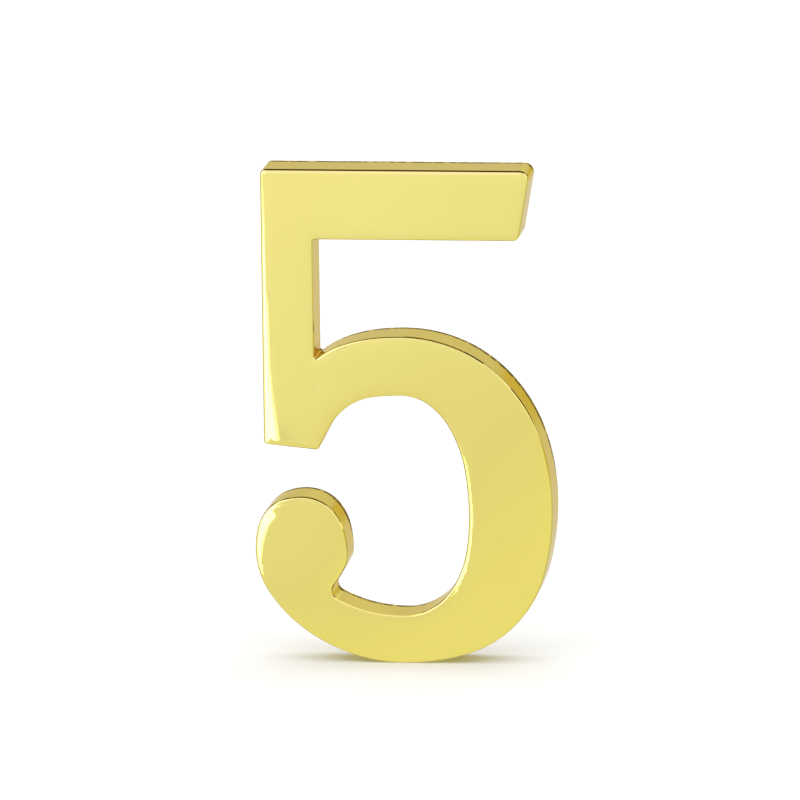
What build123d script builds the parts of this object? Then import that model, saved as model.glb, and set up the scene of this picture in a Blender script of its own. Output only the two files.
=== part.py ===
"""House number: a polished gold numeral five, cast in one piece, fixed by its flat back.

Millimetres. The numeral is read from -Y, +Z is up and the back lies on the plane y = 0.
The origin is the middle of the rectangle that the back fills, 50 mm high and 30 mm wide.
"""

import os
from math import radians, sqrt, tan

from build123d import *

# Depth of the casting and the polished edge round its face
thickness = 5.0
face_edge_radius = 0.25

# Heights, listed from the top of the bar down to the bottom of the bowl
bar_height = 7.1
bar_gap = 9.7  # from the underside of the bar to the crown of the bowl
foot_drop = 11.05  # from the crown to the outer corner of the foot
mouth = 5.3  # from that corner to the top of the ball
ball_rise = 16.85  # from the top of the ball to the bottom of the bowl

# Widths of the bar, the stem and its foot
bar_length = 27.05
bar_end_slant = 10.0  # degrees
stem_width = 5.2
foot_width = 5.45
foot_slant = 5.8  # degrees
foot_flank_angle = 66.0  # degrees above the horizontal

# Bowl: its axis carries the crown and the base, its flank is the widest point
crown_reach = 8.6  # from the stem to the axis
flank_reach = 15.15  # from the axis to the flank
flank_rise = 15.85  # of the flank above the bottom
counter_flank_rise = 15.0  # of the widest point of the opening inside the bowl
crown_stroke = 6.05
flank_stroke = 8.45
base_stroke = 4.85
joint_drop = 2.5  # from the crown to where the bowl springs from the stem
joint_angle = 40.0  # degrees above the horizontal

# Ball that ends the stroke, and the notch beneath it
ball_overhang = 1.0  # beyond the outer side of the stem
ball_width = 9.3
ball_outer_drop = 5.4  # from the top of the ball to its outermost point
ball_inner_drop = 6.1  # from the top of the ball to its innermost point
notch_depth = 2.2  # from the innermost point of the ball
notch_drop = 3.7  # below the innermost point of the ball
notch_ball_angle = 43.0  # degrees, side of the notch towards the ball
notch_base_angle = 30.5  # degrees, side of the notch towards the base

# Rounded corners, as seen from the front
bar_start_radius = 0.6
bar_end_top_radius = 0.9
bar_end_bottom_radius = 0.7
foot_outer_radius = 0.45
foot_inner_radius = 0.35
notch_radius = 1.0
bar_inner_radius = 0.2
joint_radius = 0.2

# Fullness of each sweep: 0.41 is an ellipse, more is squarer
joint_fullness = 0.5
shoulder_fullness = 0.437
hip_fullness = 0.495
belly_fullness = 0.384
ball_outer_fullness = 0.48
ball_inner_fullness = 0.465
notch_ball_fullness = 0.4
notch_base_fullness = 0.533
counter_base_fullness = 0.465
counter_crown_fullness = 0.454
foot_fullness = 0.608


def rise_over(angle):
    """Height gained for each millimetre along, at an angle in degrees."""
    return tan(radians(angle))


def biarc(start, leaving, end, arriving):
    """Two arcs, tangent to each other, from start to end along the directions given there."""
    leaving = leaving.normalized()
    arriving = arriving.normalized()
    chord = end - start
    along = chord.dot(leaving + arriving)
    turn = 2 * (1 - leaving.dot(arriving))
    reach = (sqrt(along**2 + turn * chord.dot(chord)) - along) / turn
    first = start + leaving * reach
    last = end - arriving * reach
    meeting = (first + last) / 2
    return [
        TangentArc(start, meeting, tangent=leaving),
        TangentArc(meeting, end, tangent=last - first),
    ]


def sweep(start, corner, end, fullness):
    """Smooth run of arcs from start to end, whose two end tangents meet at the corner.

    Its shoulder, where it runs along its chord, lies at the fullness given between
    the middle of the chord, 0, and the corner, 1.
    """
    middle = (start + end) / 2
    shoulder = middle + (corner - middle) * fullness
    chord = end - start
    return [
        *biarc(start, corner - start, shoulder, chord),
        *biarc(shoulder, chord, end, end - corner),
    ]


# Guide lines of the numeral
bowl_height = foot_drop + mouth + ball_rise
height = bar_height + bar_gap + bowl_height
width = ball_overhang + stem_width + crown_reach + flank_reach
top = height / 2
bottom = -height / 2
crown = bottom + bowl_height
stem_left = ball_overhang - width / 2
stem_right = stem_left + stem_width
axis = stem_right + crown_reach
flank = axis + flank_reach
ball_left = stem_left - ball_overhang
ball_right = ball_left + ball_width
ball_top = bottom + ball_rise

# Corners of the bar, the stem and the foot
bar_start = Vector(stem_left, top)
bar_end_top = Vector(stem_left + bar_length, top)
bar_end_bottom = bar_end_top - Vector(bar_height * rise_over(bar_end_slant), bar_height)
bar_inner = Vector(stem_right, top - bar_height)
joint = Vector(stem_right, crown - joint_drop)
foot_outer = Vector(stem_left, crown - foot_drop)
foot_inner = foot_outer + Vector(foot_width, -foot_width * rise_over(foot_slant))

# Extreme points of the bowl, of its opening and of the ball
bowl_crown = Vector(axis, crown)
bowl_flank = Vector(flank, bottom + flank_rise)
bowl_base = Vector(axis, bottom)
counter_crown = Vector(axis, crown - crown_stroke)
counter_flank = Vector(flank - flank_stroke, bottom + counter_flank_rise)
counter_base = Vector(axis, bottom + base_stroke)
ball_outer = Vector(ball_left, ball_top - ball_outer_drop)
ball_crown = Vector((ball_left + ball_right) / 2, ball_top)
ball_inner = Vector(ball_right, ball_top - ball_inner_drop)
notch = ball_inner - Vector(notch_depth, notch_drop)

# Points where the end tangents of a sweep meet
joint_corner = Vector(stem_right + joint_drop / rise_over(joint_angle), crown)
notch_ball_corner = Vector(ball_right, notch.Y + notch_depth * rise_over(notch_ball_angle))
notch_base_run = (notch.Y - counter_base.Y) / rise_over(notch_base_angle)
notch_base_corner = Vector(notch.X + notch_base_run, counter_base.Y)
counter_base_corner = Vector(counter_flank.X, counter_base.Y)
counter_crown_corner = Vector(counter_flank.X, counter_crown.Y)
foot_flank_run = (counter_crown.Y - foot_inner.Y) / rise_over(foot_flank_angle)
foot_corner = Vector(foot_inner.X + foot_flank_run, counter_crown.Y)

corner_radii = [
    (bar_start, bar_start_radius),
    (bar_end_top, bar_end_top_radius),
    (bar_end_bottom, bar_end_bottom_radius),
    (foot_outer, foot_outer_radius),
    (foot_inner, foot_inner_radius),
    (notch, notch_radius),
    (bar_inner, bar_inner_radius),
    (joint, joint_radius),
]

outline = [
    # Bar and the open side of the stem
    *Polyline(bar_start, bar_end_top, bar_end_bottom, bar_inner, joint).edges(),
    # Outside of the bowl, from the stem round to the ball
    *sweep(joint, joint_corner, bowl_crown, joint_fullness),
    *sweep(bowl_crown, Vector(flank, crown), bowl_flank, shoulder_fullness),
    *sweep(bowl_flank, Vector(flank, bottom), bowl_base, hip_fullness),
    *sweep(bowl_base, Vector(ball_left, bottom), ball_outer, belly_fullness),
    # Ball and notch
    *sweep(ball_outer, Vector(ball_left, ball_top), ball_crown, ball_outer_fullness),
    *sweep(ball_crown, Vector(ball_right, ball_top), ball_inner, ball_inner_fullness),
    *sweep(ball_inner, notch_ball_corner, notch, notch_ball_fullness),
    # Opening inside the bowl, from the notch round to the foot
    *sweep(notch, notch_base_corner, counter_base, notch_base_fullness),
    *sweep(counter_base, counter_base_corner, counter_flank, counter_base_fullness),
    *sweep(counter_flank, counter_crown_corner, counter_crown, counter_crown_fullness),
    *sweep(counter_crown, foot_corner, foot_inner, foot_fullness),
    # Foot and the outer side of the stem
    *Polyline(foot_inner, foot_outer, bar_start).edges(),
]
back = Plane.XZ * Face(Wire(outline))
numeral = Solid.extrude(back, Vector(0, -thickness, 0))

for corner, radius in corner_radii:
    upright = Vector(corner.X, -thickness / 2, corner.Y)
    corner_edge = numeral.edges().filter_by(Axis.Y).sort_by_distance(upright)[0]
    numeral = numeral.fillet(radius, [corner_edge])

face = numeral.faces().sort_by(Axis.Y)[0]
numeral = numeral.fillet(face_edge_radius, face.edges())

os.makedirs("parts", exist_ok=True)
export_step(numeral, "parts/numeral.step")
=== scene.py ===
from math import cos, radians, sin

import bmesh
import bpy
from mathutils import Matrix, Vector
from mathutils.kdtree import KDTree


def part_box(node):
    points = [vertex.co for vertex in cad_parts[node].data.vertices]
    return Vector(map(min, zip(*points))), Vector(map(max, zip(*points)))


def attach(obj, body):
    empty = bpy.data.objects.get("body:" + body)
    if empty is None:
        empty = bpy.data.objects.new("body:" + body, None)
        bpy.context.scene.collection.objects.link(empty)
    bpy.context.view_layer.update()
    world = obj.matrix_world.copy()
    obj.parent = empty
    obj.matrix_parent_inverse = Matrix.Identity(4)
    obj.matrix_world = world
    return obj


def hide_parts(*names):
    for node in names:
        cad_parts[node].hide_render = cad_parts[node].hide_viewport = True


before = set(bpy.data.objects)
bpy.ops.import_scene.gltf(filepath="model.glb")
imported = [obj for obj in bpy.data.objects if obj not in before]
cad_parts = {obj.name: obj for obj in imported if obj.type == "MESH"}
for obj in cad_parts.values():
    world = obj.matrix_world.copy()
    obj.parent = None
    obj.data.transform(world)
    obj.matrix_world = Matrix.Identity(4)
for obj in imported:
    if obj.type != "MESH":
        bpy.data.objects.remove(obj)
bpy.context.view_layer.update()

# The numeral: one solid casting in zinc alloy, plated with gold and buffed to a mirror.
# The buffing wheel takes a little more off along the rim, so the face falls away there.
# It is stuck to a door or a wall by its flat back, which is left as plain as it was cast.
rim_width = 0.0013
rim_fall = 0.000068
rim_radius = 0.00025
ring_width = 0.0001
ring_fall = 0.00001
grid_pitch = 0.0003
crease_angle = radians(40)
hair = 1e-7  # points that are closer than this count as one, or as level
foot_end = [(-0.0140, -0.0086), (-0.0036, -0.00238)]
ball_top = [(-0.0138, -0.0100), (-0.0101, -0.0080)]
left_flat = [foot_end, ball_top]
low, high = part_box("numeral")
face_level = low.y + hair
rounding_end = low.y + rim_radius + 10 * hair

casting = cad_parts["numeral"]
numeral = bpy.data.objects.new("polished_numeral", casting.data.copy())
bpy.context.scene.collection.objects.link(numeral)
bpy.ops.object.select_all(action="DESELECT")
numeral.select_set(True)
bpy.context.view_layer.objects.active = numeral

bpy.ops.object.mode_set(mode="EDIT")
bpy.ops.mesh.select_all(action="SELECT")
bpy.ops.mesh.remove_doubles(threshold=hair)
bpy.ops.mesh.customdata_custom_splitnormals_clear()


def select(polygons):
    """Selects these polygons of the numeral, and nothing else."""
    bpy.ops.mesh.select_all(action="DESELECT")
    for polygon in polygons:
        polygon.select_set(True)
    bmesh.update_edit_mesh(numeral.data)


def face_polygons():
    """The polygons that lie flat in the plane of the face."""
    return [polygon for polygon in bmesh.from_edit_mesh(numeral.data).faces
            if all(corner.co.y < face_level for corner in polygon.verts)]


# The face becomes one polygon, and a narrow ring along the rim keeps the rim's own points
bpy.context.tool_settings.mesh_select_mode = (False, False, True)
select(face_polygons())
bpy.ops.mesh.dissolve_faces()
bpy.ops.mesh.inset(thickness=ring_width)

# Inside the ring the face is cut into an even grid, which can follow the curve of the buffing
bpy.ops.object.mode_set(mode="OBJECT")
numeral.data.materials.append(None)
bpy.ops.object.mode_set(mode="EDIT")
field = max(face_polygons(), key=lambda polygon: polygon.calc_area())
field.material_index = 1
for direction, start, end in [
    (Vector((1, 0, 0)), low.x, high.x),
    (Vector((0, 0, 1)), low.z, high.z),
]:
    for cut in range(1, int((end - start) / grid_pitch)):
        grid = bmesh.from_edit_mesh(numeral.data).faces
        select([polygon for polygon in grid if polygon.material_index == 1])
        bpy.ops.mesh.bisect(plane_co=direction * (start + cut * grid_pitch), plane_no=direction)

# A copy of the rim guides the fall of the face, apart from the end of the foot and the top of
# the ball, which the wheel left flat; past the foot the guide runs straight on
select(face_polygons())
bpy.ops.mesh.region_to_loop()
points = bmesh.from_edit_mesh(numeral.data).verts
points.ensure_lookup_table()
rim = [point.index for point in points if point.select]
rounding = [point.index for point in points if face_level < point.co.y < rounding_end]


def within(point, area):
    """Whether a point lies in an area, which is given by its reach across and its reach up."""
    (left, right), (bottom, top) = area
    return left < point.co.x < right and bottom < point.co.z < top


for edge in bmesh.from_edit_mesh(numeral.data).edges:
    if edge.select and any(all(within(end, area) for end in edge.verts) for area in left_flat):
        edge.select_set(False)
bpy.ops.mesh.duplicate()
bpy.ops.mesh.separate(type="SELECTED")
bpy.ops.object.mode_set(mode="OBJECT")
guide = [made for made in bpy.context.selected_objects if made != numeral][0]
for point in guide.data.vertices:
    if within(point, foot_end):
        point.co.z = foot_end[1][0]

on_face = [point.index for point in numeral.data.vertices if point.co.y < face_level]
face_points = numeral.vertex_groups.new(name="face")
face_points.add(on_face, 1, "REPLACE")
nearness = numeral.modifiers.new("nearness to the rim", "VERTEX_WEIGHT_PROXIMITY")
nearness.vertex_group = face_points.name
nearness.target = guide
nearness.proximity_mode = "GEOMETRY"
nearness.proximity_geometry = {"EDGE"}
nearness.min_dist = rim_width
nearness.max_dist = 0
nearness.falloff_type = "SHARP"
fall = numeral.modifiers.new("fall of the face", "DISPLACE")
fall.direction = "Y"
fall.strength = rim_fall
fall.mid_level = 0
fall.vertex_group = face_points.name
bpy.ops.object.modifier_apply(modifier=nearness.name)
bpy.ops.object.modifier_apply(modifier=fall.name)
bpy.data.objects.remove(guide)
numeral.vertex_groups.clear()

# The rim steps down a hundredth of a millimetre more, except at the foot, and the small radius
# outside it moves back as far as the nearest point of the rim has
points = numeral.data.vertices
beside = KDTree(len(rim))
for index in rim:
    beside.insert((points[index].co.x, 0, points[index].co.z), index)
    if not within(points[index], foot_end):
        points[index].co.y += ring_fall
beside.balance()
for index in rounding:
    partner = beside.find((points[index].co.x, 0, points[index].co.z))[1]
    points[index].co.y += points[partner].co.y - low.y

bpy.ops.object.shade_smooth_by_angle(angle=crease_angle)
mirror = numeral.modifiers.new("mirror shading", "WEIGHTED_NORMAL")
mirror.mode = "FACE_AREA"
mirror.keep_sharp = True
bpy.ops.object.modifier_apply(modifier=mirror.name)


class Shade:
    """A socket among a material's nodes; sums and products of shades add their own Math nodes."""

    def __init__(self, tree, socket=None):
        self.tree = tree
        self.socket = socket

    def node(self, kind, settings, values, output=0):
        """Adds a node with its settings, then sets or links its sockets, and gives one output."""
        made = self.tree.nodes.new(kind)
        for name, setting in settings.items():
            if name == "stops":
                ramp = made.color_ramp.elements
                while len(ramp) < len(setting):
                    ramp.new(1)
                for stop, (position, colour) in zip(ramp, setting):
                    stop.position = position
                    stop.color = (*colour, 1)
            else:
                setattr(made, name, setting)
        for name, value in values.items():
            if isinstance(value, Shade):
                self.tree.links.new(value.socket, made.inputs[name])
            else:
                made.inputs[name].default_value = value
        return Shade(self.tree, made.outputs[output])

    def maths(self, operation, first, second):
        """A Math node on two shades, or on a shade and a number."""
        return self.node("ShaderNodeMath", {"operation": operation}, {0: first, 1: second})

    def __add__(self, other):
        return self.maths("ADD", self, other)

    def __sub__(self, other):
        return self.maths("SUBTRACT", self, other)

    def __rsub__(self, other):
        return self.maths("SUBTRACT", other, self)

    def __mul__(self, other):
        return self.maths("MULTIPLY", self, other)

    def __gt__(self, other):
        return self.maths("GREATER_THAN", self, other)

    def __lt__(self, other):
        return self.maths("LESS_THAN", self, other)

    __radd__ = __add__
    __rmul__ = __mul__

    def between(self, empty, full):
        """A smooth mask that is 0 at the first value and 1 at the second."""
        return self.node("ShaderNodeMapRange", {"interpolation_type": "SMOOTHSTEP"},
                         {"Value": self, "From Min": empty, "From Max": full})

    def mix(self, colour, other):
        """The first colour where this mask is 0, and the other where it is 1."""
        return self.node("ShaderNodeMix", {"data_type": "RGBA"}, {0: self, 6: colour, 7: other}, 2)


gold = bpy.data.materials.new("buffed_gold_plate")
gold.use_nodes = True
plate = Shade(gold.node_tree)
spot = plate.node("ShaderNodeTexCoord", {}, {}, "Object")
across = plate.node("ShaderNodeSeparateXYZ", {}, {0: spot}, "X")
depth = plate.node("ShaderNodeSeparateXYZ", {}, {0: spot}, "Y")
height = plate.node("ShaderNodeSeparateXYZ", {}, {0: spot}, "Z")
upright = plate.node("ShaderNodeCombineXYZ", {}, {0: across, 1: height})

# The plating is a shade deeper here and there, and the cloth left faint wipes across it
pale_gold = (0.868, 0.770, 0.252, 1)
deep_gold = (0.850, 0.752, 0.240, 1)
wipe_slant = (0, 0, 0.5)
wipe_stretch = (150, 900, 1)
tone = plate.node("ShaderNodeTexNoise", {}, {"Vector": spot, "Scale": 70.0, "Detail": 2.0})
wiped = plate.node("ShaderNodeMapping", {}, {0: upright, 2: wipe_slant, 3: wipe_stretch})
wipes = plate.node("ShaderNodeTexNoise", {"noise_dimensions": "2D"},
                   {"Vector": wiped, "Scale": 1.0, "Detail": 3.0})

# Specks of dust, a tenth of a millimetre across, lie on the face alone
dust_white = (1.0, 0.97, 0.80, 1)
dust_cover = 0.35
dust_edge = (0.021, 0.012)
bare_cells = 0.6
face_depth = 0.0002
grains = {"voronoi_dimensions": "2D"}
cells = {"Vector": upright, "Scale": 240.0}
grain = plate.node("ShaderNodeTexVoronoi", grains, cells, "Distance")
chance = plate.node("ShaderNodeTexVoronoi", grains, cells, "Color")
chance = plate.node("ShaderNodeSeparateColor", {}, {0: chance}, "Red")
dust = grain.between(*dust_edge) * (chance > bare_cells) * (depth < low.y + face_depth) * dust_cover

# Painted shade runs along the edge of the back: a dark line that stands in for the contact shadow
# that the walls mirror there, most of it where a wall faces up and little of it on the left. The
# back itself was never buffed
painted_shade_brown = (0.10, 0.06, 0.012, 1)
shade_fade = 0.0002
side_reach = 0.0002
top_reach = 0.0005
back_level = -0.00001
shade_breakup = plate.node("ShaderNodeTexNoise", {}, {"Vector": spot, "Scale": 1700.0, "Detail": 1.0})
back = depth > back_level
facing = plate.node("ShaderNodeTexCoord", {}, {}, "Normal")
sideways = plate.node("ShaderNodeSeparateXYZ", {}, {0: facing}, "X")
upwards = plate.node("ShaderNodeSeparateXYZ", {}, {0: facing}, "Z")
shoulder = sideways.between(0.35, 0.7)
reach = side_reach + top_reach * upwards.between(0, 0.4) * (1 + 0.7 * shoulder)
back_edge_shade = (depth + reach).between(-shade_fade, shade_fade) * (1 - back) * shade_breakup.between(0.3, 0.48)
back_edge_shade = back_edge_shade * sideways.between(-0.8, -0.2)

# Painted reflection: the deep amber of gold mirrored in gold, in the sharp corner between the stem
# and the bowl
mirrored_gold_amber = (0.72, 0.42, 0.03, 1)
joint_centre = (-0.00878, 0.0057, 0)
joint_reach = (0.0016, 0.0007)
joint_wall_depth = 0.0004
corner = plate.node("ShaderNodeVectorMath", {"operation": "DISTANCE"},
                    {0: upright, 1: joint_centre}, "Value")
painted_corner_reflection = corner.between(*joint_reach) * (depth > low.y + joint_wall_depth) * (1 - back)

mirror_roughness = 0.035
colour = tone.between(0.3, 0.7).mix(pale_gold, deep_gold)
# A painted reflection turns the colour amber in the corner between the stem and the bowl
colour = painted_corner_reflection.mix(colour, mirrored_gold_amber)
# Painted shade along the edge of the back darkens the colour here
colour = back_edge_shade.mix(colour, painted_shade_brown)
colour = dust.mix(colour, dust_white)
surface = gold.node_tree.nodes["Principled BSDF"].inputs
surface["Specular Tint"].default_value = (0.85, 0.73, 0.42, 1)
for name, varied in [
    ("Base Color", colour),
    ("Metallic", 1 - 0.7 * dust),
    ("Roughness", mirror_roughness + 0.03 * wipes + 0.3 * back_edge_shade + 0.35 * back + 0.5 * dust),
]:
    gold.node_tree.links.new(varied.socket, surface[name])

numeral.data.materials.clear()
numeral.data.materials.append(gold)
for polygon in numeral.data.polygons:
    polygon.material_index = 0
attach(numeral, "root")
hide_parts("numeral")

# The floor: a sheet of pale matte card that the numeral stands on for its picture.
# Only the eye sees it, because the mirror faces a white sheet of its own further on.
bpy.ops.object.select_all(action="DESELECT")
bpy.ops.mesh.primitive_plane_add(size=4, location=(0, 0, low.z))
floor = bpy.context.active_object
floor.name = "floor"
floor.visible_glossy = False
paper = bpy.data.materials.new("pale_card")
paper.use_nodes = True
paper.node_tree.nodes["Principled BSDF"].inputs["Base Color"].default_value = (0.9, 0.9, 0.9, 1)
paper.node_tree.nodes["Principled BSDF"].inputs["Roughness"].default_value = 0.9
floor.data.materials.append(paper)

# The light: an even fill for the floor, and what the mirror sees, which is a white sheet in front
# with a window in it, a soft box leaning over it, two slips and a lamp. A graded gel close to the
# face warms the light towards the lower right, and the room is brown above and on the left.
fill = bpy.data.objects.new("floor_fill", bpy.data.lights.new("floor_fill", "AREA"))
fill.data.size = 6
fill.data.energy = 172
fill.location = (0, 0, 1.5)
fill.visible_glossy = False
bpy.context.scene.collection.objects.link(fill)


def mirror_card(name, corners, kind="ShaderNodeEmission"):
    """A flat card that only mirrors see, from its corners in millimetres; gives its shading."""
    sheet = bpy.data.meshes.new(name)
    metres = [[size / 1000 for size in corner] for corner in corners]
    sheet.from_pydata(metres, [], [range(len(corners))])
    made = bpy.data.objects.new(name, sheet)
    bpy.context.scene.collection.objects.link(made)
    made.visible_camera = False
    made.visible_diffuse = False
    made.visible_shadow = False
    made.data.materials.append(bpy.data.materials.new(name))
    made.active_material.use_nodes = True
    tree = made.active_material.node_tree
    tree.nodes.remove(tree.nodes["Principled BSDF"])
    surface = tree.nodes.new(kind)
    tree.links.new(surface.outputs[0], tree.nodes["Material Output"].inputs[0])
    return Shade(tree), surface.inputs


sheet_y = -165
sheet_edge = [(-500, -400), (180, -400), (180, 38), (-500, 38)]
glow = mirror_card("white_sheet", [(x, sheet_y, z) for x, z in sheet_edge])[1]
glow["Strength"].default_value = 1.04

# The window is dimmer along its edge than further in, and has a dark frame
frame_glow = 0.85
window_edge = [
    (-34.5, -34), (-36, -32.6), (-40, -31.3), (-47, -29.5), (-55, -26.5), (-57, -19.5),
    (-70, -15), (-112, 4), (-112, -18), (-84, -28), (-84, -69), (-66, -56), (-57, -47.5),
    (-51, -42), (-46, -37), (-40, -34.8),
]
for part, nearer, inwards, strength in [
    ("frame", 1, -3, frame_glow),
    ("edge", 2, 0, 1.9),
    ("rim", 3, 2.5, 2.5),
    ("pane", 4, 5, 3.0),
    ("middle", 5, 9, 3.6),
]:
    corners = [(x - inwards, sheet_y + nearer, z) for x, z in window_edge]
    glow = mirror_card("window_" + part, corners)[1]
    glow["Strength"].default_value = strength

# The soft box is brighter towards its two ends, and its dark frame shows below it
box_y = -159
box_edge = [(-400, -10), (-90, 8), (-38, 22), (-36, 38), (300, 38), (300, 135), (-400, 180)]
glow = mirror_card("box_frame", [(x, box_y - 0.5, z - 4) for x, z in box_edge])[1]
glow["Strength"].default_value = frame_glow
box, glow = mirror_card("soft_box", [(x, box_y, z) for x, z in box_edge])
box_middle = (1.16, 1.131, 1.45, 1)
box_right = (1.80, 1.755, 2.25, 1)
box_left = (2.76, 2.691, 3.45, 1)
place = box.node("ShaderNodeTexCoord", {}, {}, "Object")
across = box.node("ShaderNodeSeparateXYZ", {}, {0: place}, "X")
tint = across.between(0.04, 0.12).mix(box_middle, box_right)
tint = across.between(-0.03, -0.10).mix(tint, box_left)
box.tree.links.new(tint.socket, glow["Color"])

# The slips of card are close by, in the bowl's opening and over the joint, and light the edges
# below them; seen from above they are clear
for name, corners, behind, before in [
    ("opening_slip", [(-4, -12, -10), (3, -12, -10), (3, 8, -10), (-4, 8, -10)],
     (0.65, 0.6175, 0.52, 1), (1.50, 1.425, 1.20, 1)),
    ("joint_slip", [(-8.5, -4.5, 11), (0, -4.5, 11), (0, 4, 11), (-8.5, 4, 11)],
     (0.72, 0.68, 0.52, 1), (0.72, 0.68, 0.52, 1)),
]:
    slip, glow = mirror_card(name, corners)
    place = slip.node("ShaderNodeTexCoord", {}, {}, "Object")
    depth = slip.node("ShaderNodeSeparateXYZ", {}, {0: place}, "Y")
    tint = depth.between(-0.003, -0.007).mix(behind, before)
    slip.tree.links.new(tint.socket, glow["Color"])
    below = slip.node("ShaderNodeNewGeometry", {}, {}, "Backfacing")
    clear = slip.node("ShaderNodeBsdfTransparent", {}, {})
    lit = Shade(slip.tree, slip.tree.nodes["Emission"].outputs[0])
    shown = slip.node("ShaderNodeMixShader", {}, {0: below, 1: clear, 2: lit})
    slip.tree.links.new(shown.socket, slip.tree.nodes["Material Output"].inputs[0])

# The lamp leans over the shoulder of the bowl from the right
lamp_corners = [(179, -75, 242), (247, -75, 174), (247, 35, 174), (179, 35, 242)]
glow = mirror_card("lamp", lamp_corners)[1]
glow["Strength"].default_value = 2

# The gel is clear at the upper left and yellow at the lower right
gel_corners = [(-120, -45, -120), (120, -45, -120), (120, -45, 80), (-120, -45, 80)]
gel_reach = 0.03
gel, filtered = mirror_card("graded_gel", gel_corners, "ShaderNodeBsdfTransparent")
place = gel.node("ShaderNodeTexCoord", {}, {}, "Object")
across = gel.node("ShaderNodeSeparateXYZ", {}, {0: place}, "X")
height = gel.node("ShaderNodeSeparateXYZ", {}, {0: place}, "Z")
slope = gel.node("ShaderNodeMapRange", {},
                 {"Value": height - 0.7 * across, "From Min": -gel_reach, "From Max": gel_reach})
tint = gel.node("ShaderNodeValToRGB", {"stops": [
    (0.02, (0.915, 0.895, 0.63)),
    (0.26, (0.865, 0.84, 0.72)),
    (0.56, (0.915, 0.915, 0.865)),
    (0.96, (1.0, 1.0, 0.99)),
]}, {0: slope})
gel.tree.links.new(tint.socket, filtered["Color"])

# The room is pale from the floor up, and warm at eye level on the right; a nook and a shelf on the
# left and a beam overhead are the brown that the edges of the numeral pick up
warm_wall = (0.76, 0.66, 0.28, 1)
nook_brown = (0.20, 0.11, 0.05, 1)
shelf_brown = (0.12, 0.05, 0.015, 1)
beam_brown = (0.07, 0.03, 0.006, 1)
room = bpy.data.worlds.new("room")
bpy.context.scene.world = room
room.use_nodes = True
room.cycles_visibility.diffuse = False
walls = Shade(room.node_tree)
gaze = walls.node("ShaderNodeTexCoord", {}, {}, "Generated")
aside = walls.node("ShaderNodeSeparateXYZ", {}, {0: gaze}, "X")
ahead = walls.node("ShaderNodeSeparateXYZ", {}, {0: gaze}, "Y")
rise = walls.node("ShaderNodeSeparateXYZ", {}, {0: gaze}, "Z")
tint = walls.node("ShaderNodeValToRGB", {"stops": [
    (0.00, (0.82, 0.80, 0.76)),
    (0.43, (0.83, 0.81, 0.74)),
    (0.48, (0.83, 0.81, 0.62)),
    (0.53, (0.81, 0.80, 0.70)),
    (0.58, (0.80, 0.80, 0.80)),
    (0.605, (0.80, 0.80, 0.80)),
    (0.65, (1.0, 1.0, 1.0)),
]}, {0: 0.5 + 0.5 * rise})
warm = rise.between(-0.08, 0) * rise.between(0.16, 0.1) * aside.between(-0.05, 0.1)
tint = warm.mix(tint, warm_wall)
nook = aside.between(-0.25, -0.5) * ahead.between(0, 0.35)
nook = nook * (0.45 + 0.35 * rise.between(-0.15, 0.1))
tint = (nook + 0.2 * aside.between(0.5, 0.8)).mix(tint, nook_brown)
shelf = ahead.between(-0.65, -0.5) * ahead.between(0.6, 0.5)
shelf = shelf * rise.between(0.2, 0.3) * rise.between(0.75, 0.6)
tint = (0.9 * aside.between(-0.5, -0.65) * shelf).mix(tint, shelf_brown)
rightward = walls.maths("MAXIMUM", aside, 0)
leaning = rise + aside - 0.7 * rightward
beam = ahead.between(0.85, 0.7) * (ahead + 0.3 * rightward).between(-0.85, -0.72)
beam = beam * leaning.between(0.15, 0.42) * rise.between(0.24, 0.32)
tint = beam.mix(tint, beam_brown)
room.node_tree.links.new(tint.socket, room.node_tree.nodes["Background"].inputs["Color"])

# The camera: a long lens a little to the right of the numeral and above it, as in the picture.
# It leans over by less than a degree, and stands a metre and a half away, so that the upright
# lines hardly draw together.
azimuth = radians(7.095)
elevation = radians(10.857)
roll = radians(-0.756)
distance = 1.458
shift_left = 0.000377
shift_up = 0.00152
middle = Vector((-0.0001675, -0.0025, -0.0002507))
towards = Vector((sin(azimuth) * cos(elevation), -cos(azimuth) * cos(elevation), sin(elevation)))
level = Vector((cos(azimuth), sin(azimuth), 0))
plumb = towards.cross(level)
right = cos(roll) * level + sin(roll) * plumb
up = cos(roll) * plumb - sin(roll) * level
aim = middle - shift_left * right + shift_up * up
lens = bpy.data.cameras.new("camera")
lens.lens = 657.7
lens.sensor_width = 36
lens.clip_end = 10
camera = bpy.data.objects.new("camera", lens)
stand = Matrix((right, up, towards)).transposed().to_4x4()
stand.translation = aim + distance * towards
camera.matrix_world = stand
bpy.context.scene.collection.objects.link(camera)
bpy.context.scene.camera = camera
bpy.context.scene.view_settings.view_transform = "Standard"
